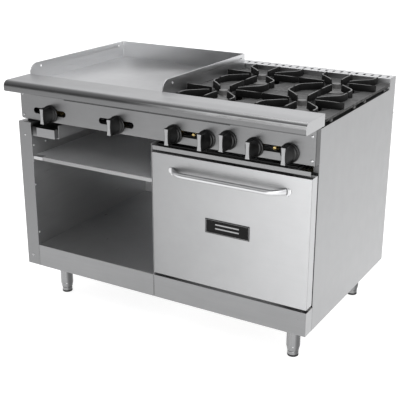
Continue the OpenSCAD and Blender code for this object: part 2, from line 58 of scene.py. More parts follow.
class Graph:
    """Small helper that builds one node material."""

    def __init__(self, name):
        self.mat = bpy.data.materials.new(name)
        self.mat.use_nodes = True
        self.tree = self.mat.node_tree
        self.bsdf = self.tree.nodes["Principled BSDF"]
        self.coord = self.tree.nodes.new("ShaderNodeTexCoord")

    def new(self, kind, **props):
        n = self.tree.nodes.new(kind)
        for k, v in props.items():
            setattr(n, k, v)
        return n

    def link(self, a, b):
        self.tree.links.new(a, b)

    def mapped(self, scale):
        """Object coordinates, stretched by scale."""
        m = self.new("ShaderNodeMapping")
        m.inputs["Scale"].default_value = scale
        self.link(self.coord.outputs["Object"], m.inputs["Vector"])
        return m.outputs["Vector"]

    def noise(self, scale, detail=3.0, rough=0.55, stretch=(1, 1, 1), distortion=0.0):
        n = self.new("ShaderNodeTexNoise")
        n.inputs["Scale"].default_value = scale
        n.inputs["Detail"].default_value = detail
        n.inputs["Roughness"].default_value = rough
        n.inputs["Distortion"].default_value = distortion
        self.link(self.mapped(stretch), n.inputs["Vector"])
        return n.outputs["Fac"]

    def ramp(self, fac, stops):
        """Colour ramp through (position, colour) stops."""
        r = self.new("ShaderNodeValToRGB")
        els = r.color_ramp.elements
        while len(els) > 1:
            els.remove(els[-1])
        els[0].position, els[0].color = stops[0][0], stops[0][1]
        for pos, col in stops[1:]:
            e = els.new(pos)
            e.color = col
        self.link(fac, r.inputs["Fac"])
        return r.outputs["Color"]

    def span(self, fac, lo, hi, a=0.3, b=0.7):
        """Maps a to b onto lo to hi, clamped."""
        m = self.new("ShaderNodeMapRange")
        m.inputs["From Min"].default_value = a
        m.inputs["From Max"].default_value = b
        m.inputs["To Min"].default_value = lo
        m.inputs["To Max"].default_value = hi
        self.link(fac, m.inputs["Value"])
        return m.outputs["Result"]

    def smooth(self, fac, lo, hi, a, b):
        """Like span, with soft ends."""
        out = self.span(fac, lo, hi, a, b)
        out.node.interpolation_type = "SMOOTHSTEP"
        return out

    def math(self, op, a, b):
        m = self.new("ShaderNodeMath", operation=op)
        for sock, v in zip(m.inputs, (a, b)):
            if isinstance(v, (int, float)):
                sock.default_value = v
            else:
                self.link(v, sock)
        return m.outputs[0]

    def mix(self, fac, a, b, blend="MIX"):
        m = self.new("ShaderNodeMix", data_type="RGBA", blend_type=blend)
        for sock, v in ((m.inputs["Factor"], fac), (m.inputs[6], a), (m.inputs[7], b)):
            if isinstance(v, (int, float, tuple)):
                sock.default_value = v
            else:
                self.link(v, sock)
        return m.outputs[2]

    def bump(self, height, strength, distance):
        b = self.new("ShaderNodeBump")
        b.inputs["Strength"].default_value = strength
        b.inputs["Distance"].default_value = distance
        self.link(height, b.inputs["Height"])
        self.link(b.outputs["Normal"], self.bsdf.inputs["Normal"])

    def set(self, **values):
        for k, v in values.items():
            self.bsdf.inputs[k].default_value = v


def grey(v, tint=(1.0, 1.0, 1.0)):
    """Neutral colour of level v, tinted."""
    return (v * tint[0], v * tint[1], v * tint[2], 1.0)


STEEL_TINT = (0.985, 0.99, 1.0)


def stainless(name, level, rough, grain="X", scratch=0.1, patch=0.06, aniso=0.4, front=1.0, ramps=(), shade_patches=(),
              metallic=1.0, joints_and_painted_light=(), edge=1.0, flank=1.0, roll=(), gleam=None):
    """Brushed sheet: fine grain along one axis, wavy longer streaks, cloudy handling smudges.

    front multiplies the tone where the sheet faces the cook, a painted shade on front faces. ramps are (axis, from
    mm, to mm, factor, factor) tone changes along the row frame, painted light and shade falling off across a part;
    shade_patches are (centre mm per axis, size mm per axis, factor) soft painted shade patches.
    joints_and_painted_light are (axis, at mm, half width mm, factor, limits or None) lines: dark joint lines, painted
    shadow lines, and, laid over a whole face, painted light where the factor is above 1 and painted shade where it is
    below. edge darkens what faces the wall, and flank what faces either side, painted shade for how round bars and
    tubes fall off in a soft studio.
    roll is a list of (0 to 1 from front-facing to upright, factor) tones over a rolled edge, painted shade and
    highlight, and gleam (from x, to x, factor) a painted highlight, a bright line along the foot of that roll.
    """
    g = Graph(name)
    along, across = 3.0, 300.0         # noise cells per metre, with and across the grain
    stretch = tuple(along if axis in grain else across for axis in "XYZ")
    fine = g.noise(1.0, 4.0, 0.7, stretch)
    coarse = g.noise(1.0, 3.0, 0.6, tuple(s * 0.24 if s == across else s * 1.6 for s in stretch), 0.6)
    cloud = g.noise(4.0, 4.0, 0.6)
    smear = g.noise(18.0, 3.0, 0.6)
    streak = g.mix(0.6, fine, coarse)
    tone = g.span(g.math("ADD", g.math("MULTIPLY", streak, 0.65), g.math("MULTIPLY", cloud, 0.35)),
                  1.0 - patch, 1.0 + patch, 0.35, 0.65)
    sep = g.new("ShaderNodeSeparateXYZ")
    g.link(g.coord.outputs["Object"], sep.inputs["Vector"])
    # Ramps along the frame: painted light and shade falling off across a part.
    for axis, lo, hi, f0, f1 in ramps:
        off = -Y_MID if axis == "Y" else 0.0
        tone = g.math("MULTIPLY", tone, g.span(sep.outputs[axis], f0, f1, (lo + off) * MM, (hi + off) * MM))
    # Soft painted shade patches.
    for centre, size, factor in shade_patches:
        d = g.new("ShaderNodeVectorMath", operation="SUBTRACT")
        g.link(g.coord.outputs["Object"], d.inputs[0])
        d.inputs[1].default_value = (centre[0] * MM, (centre[1] - Y_MID) * MM, centre[2] * MM)
        q = g.new("ShaderNodeVectorMath", operation="DIVIDE")
        g.link(d.outputs[0], q.inputs[0])
        q.inputs[1].default_value = tuple(v * MM for v in size)
        length = g.new("ShaderNodeVectorMath", operation="LENGTH")
        g.link(q.outputs[0], length.inputs[0])
        tone = g.math("MULTIPLY", tone, g.smooth(length.outputs["Value"], factor, 1.0, 0.15, 1.0))
    # Dark joint lines and painted shadow lines; laid over a whole face, painted light where the factor is above 1 and
    # painted shade where it is below.
    for axis, at, half, factor, limits in joints_and_painted_light:
        off = -Y_MID if axis == "Y" else 0.0
        away = g.math("ABSOLUTE", g.math("SUBTRACT", sep.outputs[axis], (at + off) * MM), 0.0)
        line = g.smooth(away, factor, 1.0, half * 0.5 * MM, half * MM)
        if limits:
            cross, lo, hi = limits
            c_off = -Y_MID if cross == "Y" else 0.0
            inside = g.math("MULTIPLY", g.math("GREATER_THAN", sep.outputs[cross], (lo + c_off) * MM),
                            g.math("LESS_THAN", sep.outputs[cross], (hi + c_off) * MM))
            line = g.math("SUBTRACT", 1.0, g.math("MULTIPLY", inside, g.math("SUBTRACT", 1.0, line)))
        tone = g.math("MULTIPLY", tone, line)
    # Tone by which way the surface faces: painted shade on front faces, on what faces the wall and on the flanks, and
    # painted shade and highlight over the roll.
    if front != 1.0 or edge != 1.0 or flank != 1.0 or roll:
        geo = g.new("ShaderNodeNewGeometry")
        ns = g.new("ShaderNodeSeparateXYZ")
        g.link(geo.outputs["Normal"], ns.inputs["Vector"])
        if front != 1.0:
            tone = g.math("MULTIPLY", tone, g.smooth(ns.outputs["Y"], front, 1.0, -0.97, -0.6))
        if roll:
            turn = g.ramp(g.span(ns.outputs["Y"], 0.0, 1.0, -1.0, 0.0), [(at, grey(v)) for at, v in roll])
            tone = g.math("MULTIPLY", tone, turn)
        # Painted highlight: a bright line along the foot of the roll.
        if gleam:
            x0, x1, factor = gleam
            off_line = g.math("ABSOLUTE", g.math("ADD", ns.outputs["Y"], 0.91), 0.0)
            above = g.math("GREATER_THAN", ns.outputs["Z"], 0.05)
            band = g.math("MULTIPLY", above, g.smooth(off_line, 1.0, 0.0, 0.03, 0.1))
            reach = g.math("MULTIPLY", band, g.smooth(sep.outputs["X"], 0.0, factor - 1.0, x0 * MM, x1 * MM))
            tone = g.math("MULTIPLY", tone, g.math("ADD", 1.0, reach))
        if edge != 1.0:
            tone = g.math("MULTIPLY", tone, g.smooth(ns.outputs["Y"], 1.0, edge, -0.22, 0.2))
        if flank != 1.0:
            tone = g.math("MULTIPLY", tone, g.smooth(g.math("ABSOLUTE", ns.outputs["X"], 0.0), 1.0, flank, 0.5, 0.88))
    base = g.mix(1.0, grey(level, STEEL_TINT), tone, "MULTIPLY")
    g.link(base, g.bsdf.inputs["Base Color"])
    vary = min(0.06, patch + 0.01)
    r = g.math("ADD", g.span(streak, rough - vary, rough + vary), g.span(smear, -0.6 * vary, 0.8 * vary))
    g.link(r, g.bsdf.inputs["Roughness"])
    g.set(Metallic=metallic, Anisotropic=aniso)
    g.bump(fine, scratch, 0.00006)
    return g.mat


def dull_sheet(name, level, rough, tint=(1, 1, 1)):
    """Aluminised or galvanised inner sheet: mottled spangle and a soft sheen."""
    g = Graph(name)
    spangle = g.new("ShaderNodeTexVoronoi")
    spangle.inputs["Scale"].default_value = 90.0
    g.link(g.coord.outputs["Object"], spangle.inputs["Vector"])
    cloud = g.noise(9.0, 5.0, 0.6)
    tone = g.span(g.math("ADD", g.math("MULTIPLY", spangle.outputs["Distance"], 0.3),
                         g.math("MULTIPLY", cloud, 0.8)), 0.8, 1.15)
    g.link(g.mix(1.0, grey(level, tint), tone, "MULTIPLY"), g.bsdf.inputs["Base Color"])
    g.link(g.span(cloud, rough - 0.08, rough + 0.1), g.bsdf.inputs["Roughness"])
    g.set(Metallic=0.9)
    g.bump(cloud, 0.25, 0.0004)
    return g.mat


def cast_iron(name, level, top_wear_and_sheen, rough=0.62, height=0.4):
    """Sand-cast surface: pitted grain, with lighter metal on up-facing surfaces, partly rubbed wear and partly a
    painted highlight on the lit tops.
    """
    g = Graph(name)
    grain = g.noise(420.0, 4.0, 0.65)
    lumps = g.noise(60.0, 3.0, 0.6)
    stain = g.noise(14.0, 4.0, 0.6)
    geo = g.new("ShaderNodeNewGeometry")
    split = g.new("ShaderNodeSeparateXYZ")
    g.link(geo.outputs["Normal"], split.inputs["Vector"])
    # Up-facing surfaces: partly rubbed wear, partly a painted highlight on the lit tops.
    up = g.span(split.outputs["Z"], 0.0, 1.0, 0.75, 0.97)
    patchy = g.math("ADD", stain, g.math("MULTIPLY", grain, 0.4))
    top_rub_and_sheen = g.math("MULTIPLY", up, g.span(patchy, 0.55, 1.0, 0.45, 0.8))
    dark = g.mix(g.span(stain, 0.0, 1.0), grey(level * 0.7), grey(level * 1.35, (1.02, 1.0, 0.98)))
    g.link(g.mix(top_rub_and_sheen, dark, grey(top_wear_and_sheen)), g.bsdf.inputs["Base Color"])
    g.link(g.span(lumps, rough - 0.1, rough + 0.14), g.bsdf.inputs["Roughness"])
    g.set(**{"Metallic": 0.35, "Specular IOR Level": 0.3})
    g.bump(g.math("ADD", g.math("MULTIPLY", grain, 0.5), g.math("MULTIPLY", lumps, 0.8)), height, 0.0006)
    return g.mat


def plastic(name, level, rough):
    """Moulded heat-proof plastic with a fine pebble and slight polish marks."""
    g = Graph(name)
    pebble = g.noise(900.0, 2.0, 0.5)
    cloud = g.noise(40.0, 3.0, 0.6)
    g.link(g.mix(g.span(cloud, 0.0, 1.0), grey(level * 0.75), grey(level * 1.3)), g.bsdf.inputs["Base Color"])
    g.link(g.span(cloud, rough - 0.07, rough + 0.09), g.bsdf.inputs["Roughness"])
    g.set(**{"Specular IOR Level": 0.35})
    g.bump(pebble, 0.2, 0.0002)
    return g.mat


def painted(name, level, rough, tint=(1, 1, 1), gloss=0.5):
    """Sprayed enamel with a faint orange peel."""
    g = Graph(name)
    g.set(**{"Specular IOR Level": gloss})
    cloud = g.noise(25.0, 4.0, 0.6)
    peel = g.noise(500.0, 2.0, 0.5)
    colour = g.mix(g.span(cloud, 0.0, 1.0), grey(level * 0.8, tint), grey(level * 1.25, tint))
    g.link(colour, g.bsdf.inputs["Base Color"])
    g.link(g.span(cloud, rough - 0.06, rough + 0.08), g.bsdf.inputs["Roughness"])
    g.bump(peel, 0.2, 0.0002)
    return g.mat


def brass_metal(name):
    """Turned brass with stains."""
    g = Graph(name)
    turn = g.noise(1.0, 3.0, 0.6, (300, 30, 300))
    stain = g.noise(40.0, 3.0, 0.6)
    g.link(g.mix(g.span(stain, 0.0, 1.0), (0.55, 0.4, 0.14, 1), (0.86, 0.68, 0.32, 1)), g.bsdf.inputs["Base Color"])
    g.link(g.span(turn, 0.2, 0.38), g.bsdf.inputs["Roughness"])
    g.set(Metallic=1.0)
    g.bump(turn, 0.2, 0.0002)
    return g.mat


def wool_fibre(name):
    """Mineral wool, darker towards the front."""
    g = Graph(name)
    fibre = g.noise(1.0, 5.0, 0.7, (400, 90, 250), 1.5)
    wool = g.mix(g.span(fibre, 0.0, 1.0), (0.5, 0.42, 0.22, 1), (0.8, 0.72, 0.5, 1))
    sep = g.new("ShaderNodeSeparateXYZ")
    g.link(g.coord.outputs["Object"], sep.inputs["Vector"])
    front_darkening = g.span(sep.outputs["Y"], 0.06, 1.0, (60 - Y_MID) * MM, (110 - Y_MID) * MM)
    g.link(g.mix(1.0, wool, front_darkening, "MULTIPLY"), g.bsdf.inputs["Base Color"])
    g.link(g.span(fibre, 0.85, 1.0), g.bsdf.inputs["Roughness"])
    g.bump(fibre, 0.8, 0.002)
    return g.mat


M = {
    # Ledge: painted light brighter towards the right, painted shade and highlight over the nose's roll, and a painted
    # highlight line at the foot of the roll.
    "rail": stainless("steel_ledge", 0.375, 0.36, "X", 0.03, 0.025, ramps=(("X", -600, 600, 0.93, 1.12),),
                      roll=((0.0, 0.46), (0.06, 0.4), (0.3, 0.29), (0.55, 0.46), (0.85, 0.9), (1.0, 1.0)),
                      gleam=(-120, 320, 7.0)),
    # Control panel: its level, well under the door's, is painted shade under the ledge on the same steel; the X ramp
    # is a painted light falloff, the line at z 844 a painted shadow under the ledge's nose, and the line at x 608.5 a
    # dark joint at the side panel.
    "panel": stainless("steel_panel", 0.205, 0.33, "X",
                       ramps=(("X", -600, 600, 0.97, 1.08),),
                       joints_and_painted_light=(("Z", 844.0, 3.0, 0.3, ("X", -400, 300)), ("X", 608.5, 2.0, 0.35, None))),
    # Side panels: front-facing edges darkened as painted shade, and the tone lighter lower down as painted light; the
    # line at y 51.5 is a dark joint.
    "side": stainless("steel_side", 0.333, 0.36, "Z", 0.05, 0.02, front=0.66, ramps=(("Z", 150, 900, 1.06, 0.95),),
                      joints_and_painted_light=(("Y", 51.5, 1.3, 0.25, ("Z", 150, 243)),)),
    # Door: the ramps are painted light, brighter towards the right and the top; the lines at y 5 and 48.5 are dark
    # joints.
    "door": stainless("steel_door", 0.37, 0.5, "X", 0.1, 0.04, 0.6,
                      ramps=(("X", 0, 600, 0.82, 1.32), ("Z", 250, 712, 1.0, 1.04)),
                      joints_and_painted_light=(("Y", 5.0, 1.2, 0.35, None), ("Y", 48.5, 3.0, 0.3, None))),
    # Kick panels: front faces darkened as painted shade; the lines are dark joints.
    "kick": stainless("steel_kick", 0.375, 0.34, "X", front=0.7,
                      joints_and_painted_light=(("X", -550.8, 2.0, 0.25, None), ("X", -1.0, 2.2, 0.2, None))),
    # Storage bay lining: painted shade deep in the bay, darker low down, under the control panel, in the left corner
    # and towards the left, and soft painted shade patches at the top left under the panel.
    "liner": stainless("steel_liner", 0.62, 0.34, "Y", metallic=0.8,
                       ramps=(("Z", 240, 600, 0.54, 0.84), ("Z", 600, 742, 1.0, 0.85), ("X", -556, -546, 0.82, 1.0),
                              ("X", -546, -10, 0.85, 1.4)),
                       shade_patches=(((-535, 30, 728), (75, 110, 34), 0.06), ((-540, 10, 708), (60, 60, 36), 0.3))),
    # Centre divider: front edge darkened as painted shade.
    "divider": stainless("steel_divider", 0.6, 0.36, "Y", metallic=0.8, front=0.12),
    # Storage shelf: lip front darkened and the tone darker towards the left, both painted shade.
    "shelf": stainless("steel_shelf", 0.85, 0.42, "Y", 0.0, 0.02, front=0.34, metallic=0.75,
                       ramps=(("X", -550, 0, 0.85, 1.15),)),
    # Crumb tray: near black above z 737.6, painted shade in the recess behind its front lip.
    "lip": stainless("steel_lip", 0.25, 0.34, "X", ramps=(("Z", 737.0, 737.6, 1.0, 0.08),)),
    # Oven front frame: low level, darker lower down and towards the right, all painted shade in the gaps around the
    # door.
    "frame": stainless("steel_frame", 0.12, 0.4, "X", ramps=(("Z", 243, 715, 0.1, 1.0), ("X", 300, 600, 1.0, 0.3))),
    "splash": stainless("steel_splash", 0.65, 0.32, "XY", 0.0, 0.02),
    # Griddle: painted light, brighter towards the left and the front.
    "griddle": stainless("steel_griddle", 0.52, 0.33, "Y", 0.05, 0.03,
                         ramps=(("X", -600, 0, 1.2, 0.8), ("Y", 80, 650, 1.0, 0.88))),
    # Door handle: the side facing the wall darkened as painted shade.
    "tube": stainless("steel_tube", 0.62, 0.34, "X", 0.05, 0.03, edge=0.22),
    "rod": stainless("steel_rod", 0.5, 0.25, "X", 0.08),
    # Legs: sides darkened as painted shade, for the round fall-off of a tube.
    "leg": stainless("steel_leg", 0.3, 0.24, "Z", 0.08, flank=0.4),
    "screw": stainless("steel_screw", 0.45, 0.25, "X", 0.08),
    "rivet": stainless("steel_rivet", 0.8, 0.3, "X", 0.08),
    "insert": stainless("steel_insert", 0.33, 0.34, "Z", 0.15),
    "alum": dull_sheet("aluminised_sheet", 0.45, 0.45),
    # Aluminised sheet at a much lower level, for the burner box and the oven gas line.
    "alum_dark": dull_sheet("dark_aluminised_sheet", 0.07, 0.6),
    # Back panel: its inner face is lifted (factor 1.9) where it shows through the storage bay, painted light, and
    # nearly black above z 745, painted shade above the bay.
    "back": stainless("aluminised_back", 0.34, 0.42, "Z", 0.1, 0.05, 0.1, metallic=0.9,
                      joints_and_painted_light=(("Y", BACK_INNER, 1.0, 1.9, ("Z", 240, 745)),
                             ("Y", BACK_INNER, 1.0, 0.06, ("Z", 745, 960)))),
    "grate": cast_iron("cast_grate", 0.008, 0.19),
    "bowl": cast_iron("cast_bowl", 0.05, 0.075, 0.5),
    # Darker cast iron: painted shade for the bowl's depths and the rim's outer wall.
    "shaded_iron": cast_iron("cast_iron_shaded", 0.012, 0.02, 0.6),
    "burner": cast_iron("cast_burner", 0.08, 0.13, 0.5),
    "stem": cast_iron("cast_stem", 0.12, 0.13, 0.5),
    # Near-black paint for the burner ports: painted shade standing in for the port holes.
    "port_shade": painted("port_shade", 0.006, 0.9),
    "black": painted("black_paint", 0.02, 0.42),
    "grease": stainless("steel_drawer", 0.27, 0.42, "X"),
    "badge": painted("badge_enamel", 0.004, 0.3, gloss=0.12),
    "knob": plastic("knob_plastic", 0.004, 0.36),
    "rubber": plastic("foot_rubber", 0.012, 0.7),
    "brass": brass_metal("brass_valve"),
    "wool": wool_fibre("mineral_wool"),
}


# ---------------------------------------------------------------- CAD nodes

def dress(name, material, width, segments=2):
    """Gives a CAD node a material, welded seams, softened edges and even shading."""
    o = nodes[name]
    o.data.materials.clear()
    o.data.materials.append(material)
    for p in o.data.polygons:
        p.use_smooth = True
    weld = o.modifiers.new("weld", "WELD")
    weld.merge_threshold = 1e-6
    if width:
        bev = o.modifiers.new("bevel", "BEVEL")
        bev.width = width * MM
        bev.segments = segments
        bev.limit_method = "ANGLE"
        bev.angle_limit = math.radians(32)
        bev.use_clamp_overlap = True
        bev.harden_normals = False
    wn = o.modifiers.new("normals", "WEIGHTED_NORMAL")
    wn.mode = "FACE_AREA_WITH_ANGLE"
    wn.weight = 50
    wn.keep_sharp = False


FINISH = {
    "panel": ["control_panel"],
    "side": ["left_side_panel", "right_side_panel"],
    "door": ["door_outer_panel"],
    "kick": ["storage_kick_panel", "oven_kick_panel"],
    "liner": ["storage_liner", "storage_brackets"],
    "divider": ["centre_divider"],
    "frame": ["oven_front_frame"],
    "rail": ["front_ledge"],
    "shelf": ["storage_shelf"],
    "lip": ["crumb_tray"],
    "splash": ["griddle_splash", "flue_riser"],
    "griddle": ["griddle_plate"],
    "tube": ["door_handle"],
    "rod": ["oven_rack"],
    "back": ["back_panel"],
    "alum_dark": ["burner_box_frame", "oven_gas_line"],
    "leg": ["legs", "foot_front_left", "foot_front_right", "foot_rear_left", "foot_rear_right"],
    "screw": ["panel_screws"],
    "alum": ["base_frame", "grease_trough", "griddle_burners", "oven_liner", "oven_deck", "oven_burner",
             "rack_guides", "oven_flue", "door_inner_panel"],
    "grate": ["grate_front_left", "grate_rear_left", "grate_front_right", "grate_rear_right"],
    "burner": ["burner_bases", "burner_head_front_left", "burner_head_rear_left",
               "burner_head_front_right", "burner_head_rear_right"],
    "black": ["gas_manifold", "oven_thermostat", "door_hinges"],
    "grease": ["grease_drawer"],
    "badge": ["badge_plate"],
    "knob": [n for n in nodes if "_knob" in n],
    "brass": ["gas_valves"],
    "wool": ["oven_insulation", "door_insulation"],
}
SHARP = ("right_side_panel",)      # its notched corners would swell out of the CAD box
EDGE_SOFTENING = 0.6
for key, names in FINISH.items():
    for n in names:
        dress(n, M[key], 0.0 if n in SHARP else EDGE_SOFTENING)


# ---------------------------------------------------------------- mesh tools

def P(x, y, z):
    """Point in mm, with y measured from the door face, as a frame vector."""
    return Vector((x, y - Y_MID, z)) * MM


def finish_mesh(name, bm, mats, body, replaces=(), bevel=0.0, segments=2, smooth=True, angle=35):
    """Turns bm into an object that rides a CAD body and may replace CAD nodes."""
    bmesh.ops.remove_doubles(bm, verts=bm.verts, dist=1e-6)
    bmesh.ops.recalc_face_normals(bm, faces=bm.faces)
    me = bpy.data.meshes.new(name)
    bm.to_mesh(me)
    bm.free()
    for m in (mats if isinstance(mats, (list, tuple)) else [mats]):
        me.materials.append(m)
    for p in me.polygons:
        p.use_smooth = smooth
    o = bpy.data.objects.new(name, me)
    bpy.context.scene.collection.objects.link(o)
    if bevel:
        mod = o.modifiers.new("bevel", "BEVEL")
        mod.width = bevel * MM
        mod.segments = segments
        mod.limit_method = "ANGLE"
        mod.angle_limit = math.radians(angle)
    wn = o.modifiers.new("normals", "WEIGHTED_NORMAL")
    wn.mode = "FACE_AREA_WITH_ANGLE"
    wn.keep_sharp = False
    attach(o, body)
    if replaces:
        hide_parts(*replaces)
    return o


def add_hex(bm, lo, hi, mat=0):
    """Box from two corners in mm (door-face coordinates)."""
    v = [bm.verts.new(P(x, y, z)) for z in (lo[2], hi[2]) for y in (lo[1], hi[1]) for x in (lo[0], hi[0])]
    for f in ((0, 2, 3, 1), (4, 5, 7, 6), (0, 1, 5, 4), (2, 6, 7, 3), (0, 4, 6, 2), (1, 3, 7, 5)):
        bm.faces.new([v[i] for i in f]).material_index = mat


def lathe(bm, origin, axis, profile, segments=48, mat=0, start=0.0):
    """Revolves (radius, distance along axis) pairs, in mm; radius 0 closes the end."""
    axis = Vector(axis).normalized()
    side = axis.orthogonal().normalized()
    up = axis.cross(side)
    rings = []
    for r, h in profile:
        c = origin + axis * h * MM
        if r <= 1e-6:
            rings.append([bm.verts.new(c)])
            continue
        ring = []
        for i in range(segments):
            t = start + 2 * math.pi * i / segments
            ring.append(bm.verts.new(c + (side * math.cos(t) + up * math.sin(t)) * r * MM))
        rings.append(ring)
    for a, b in zip(rings, rings[1:]):
        for i in range(segments):
            j = (i + 1) % segments
            if len(a) == 1 and len(b) == 1:
                continue
            if len(a) == 1:
                f = bm.faces.new((a[0], b[i], b[j]))
            elif len(b) == 1:
                f = bm.faces.new((a[i], b[0], a[j]))
            else:
                f = bm.faces.new((a[i], b[i], b[j], a[j]))
            f.material_index = mat


def sweep(bm, path, section, mat=0, closed_ends=True):
    """Sweeps section(k) -> list of (side, up) in mm along path points (frame vectors); up stays near +Z."""
    rings = []
    for k, c in enumerate(path):
        d = (path[min(k + 1, len(path) - 1)] - path[max(k - 1, 0)]).normalized()
        side = d.cross(Vector((0, 0, 1)))
        side = side.normalized() if side.length > 1e-6 else Vector((1, 0, 0))
        up = side.cross(d).normalized()
        rings.append([bm.verts.new(c + side * a * MM + up * b * MM) for a, b in section(k)])
    n = len(rings[0])
    for a, b in zip(rings, rings[1:]):
        for i in range(n):
            j = (i + 1) % n
            bm.faces.new((a[i], b[i], b[j], a[j])).material_index = mat
    if closed_ends:
        bm.faces.new(rings[0]).material_index = mat
        bm.faces.new(list(reversed(rings[-1]))).material_index = mat


# ---------------------------------------------------------------- knobs

KNOBS = ("griddle_knob_left", "griddle_knob_right", "burner_knob_front_left", "burner_knob_rear_left",
         "oven_thermostat_knob", "burner_knob_front_right", "burner_knob_rear_right")
PANEL_Y = 21.5                     # face of the control panel
STEM_DROP = 33.5                   # from the top of a knob's CAD box down to its stem
GRIP_LEVELS, GRIP_CUTS = 7, 21     # rings along the grip's depth, points along its height
GRIP_ROOT = 8.0                    # from the disc's back to the start of the grip
INSERT_CUTS, INSERT_HALF_HEIGHT = 15, 28.4


def knob_centre(name):
    """Where a knob's stem stands, read from its CAD box."""
    lo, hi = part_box(name)
    return (lo[0] + hi[0]) / 2 / MM, hi[2] / MM - STEM_DROP


def insert_half(u):
    """Half width in mm of a knob's metal insert, u from -1 to 1 along it."""
    return 5.7 + 2.1 * abs(u) ** 2.2


def knob(name):
    """Round skirt, a grip that narrows from the skirt to a bar, a stem, and a metal insert on the bar's face."""
    x, z = knob_centre(name)
    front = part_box(name)[0][1] / MM + Y_MID          # y of the grip's face
    bm = bmesh.new()
    towards = Vector((0, -1, 0))
    back_y = PANEL_Y - 0.6
    depth = back_y - front
    lathe(bm, P(x, back_y, z), towards,
          [(0, 0), (32.2, 0), (33.3, 1.0), (33.4, 4.4), (32.2, 5.6), (30.2, 6.2), (29.2, 8.0),
           (28.0, 11.0), (26.0, 12.6), (20.0, 13.4), (0, 13.6)], 64)
    rows = []
    for k in range(GRIP_LEVELS):
        t = k / (GRIP_LEVELS - 1)
        y = back_y - GRIP_ROOT - (depth - GRIP_ROOT - 1.2) * t
        half_h = 29.6 - 0.6 * t
        outline = []
        for c in range(GRIP_CUTS):
            u = math.sin(math.pi / 2 * (-1 + 2 * c / (GRIP_CUTS - 1)))
            bar = insert_half(u) + 1.6
            dome = max(bar, 25.5 * math.sqrt(max(0.0, 1 - 0.93 * u * u)))
            outline.append((bar + (dome - bar) * (1 - t) ** 1.35, u * half_h))
        pts = outline + [(-a, b) for a, b in reversed(outline)]
        rows.append([bm.verts.new(P(x + a, y, z + b)) for a, b in pts])
    n = len(rows[0])
    for a, b in zip(rows, rows[1:]):
        for i in range(n):
            j = (i + 1) % n
            bm.faces.new((a[i], b[i], b[j], a[j]))
    bm.faces.new(rows[0])
    bm.faces.new(list(reversed(rows[-1])))
    lathe(bm, P(x, back_y - 1, z), (0, 1, 0), [(0, 0), (4, 0), (4, 31), (0, 31)], 20)
    finish_mesh(name + "_body", bm, M["knob"], name, (name,), 0.6, 2)

    bm = bmesh.new()
    face_y = front + 1.25
    left, right = [], []
    for c in range(INSERT_CUTS):
        u = -1 + 2 * c / (INSERT_CUTS - 1)
        w = insert_half(u)
        left.append((x - w, z + u * INSERT_HALF_HEIGHT))
        right.append((x + w, z + u * INSERT_HALF_HEIGHT))
    for k in range(INSERT_CUTS - 1):
        quad = [left[k], right[k], right[k + 1], left[k + 1]]
        front_v = [bm.verts.new(P(a, front + 0.1, b)) for a, b in quad]
        back_v = [bm.verts.new(P(a, face_y, b)) for a, b in quad]
        bm.faces.new(front_v)
        bm.faces.new((front_v[1], back_v[1], back_v[2], front_v[2]))
        bm.faces.new((front_v[3], back_v[3], back_v[0], front_v[0]))
        if k == 0:
            bm.faces.new((front_v[0], back_v[0], back_v[1], front_v[1]))
        if k == INSERT_CUTS - 2:
            bm.faces.new((front_v[2], back_v[2], back_v[3], front_v[3]))
        bm.faces.new(list(reversed(back_v)))
    finish_mesh(name + "_insert", bm, M["insert"], name, (), 0.35, 2, angle=50)


for n in KNOBS:
    knob(n)


# ---------------------------------------------------------------- grates and burner heads

GRATE_HALF = 152.1                 # half the side of a grate
BURNER_X = (152.4, 457.2)
BURNER_Y = (241.0, 545.5)
FIN_FOOT_Z, FIN_TOP_Z = 885.2, 910
FIN_WIDTHS = (8.4, 5.8)            # at the foot and at the top
RING_SEGMENTS = 96
HEAD_SEAT_Z = 862.3
PORTS, PORT_RADIUS, PORT_Z = 24, 43.2, 869.3
CELLS = {"front_left": (0, 0), "rear_left": (0, 1), "front_right": (1, 0), "rear_right": (1, 1)}


def fin_section(top_z):
    """Tapered fin with eased top corners: (side, height) pairs."""
    b, t = FIN_WIDTHS[0] / 2, FIN_WIDTHS[1] / 2
    return [(-b, FIN_FOOT_Z), (b, FIN_FOOT_Z), (t + 0.1, top_z - 1.2), (t - 0.25, top_z - 0.3), (t - 0.9, top_z),
            (-t + 0.9, top_z), (-t + 0.25, top_z - 0.3), (-t - 0.1, top_z - 1.2)]


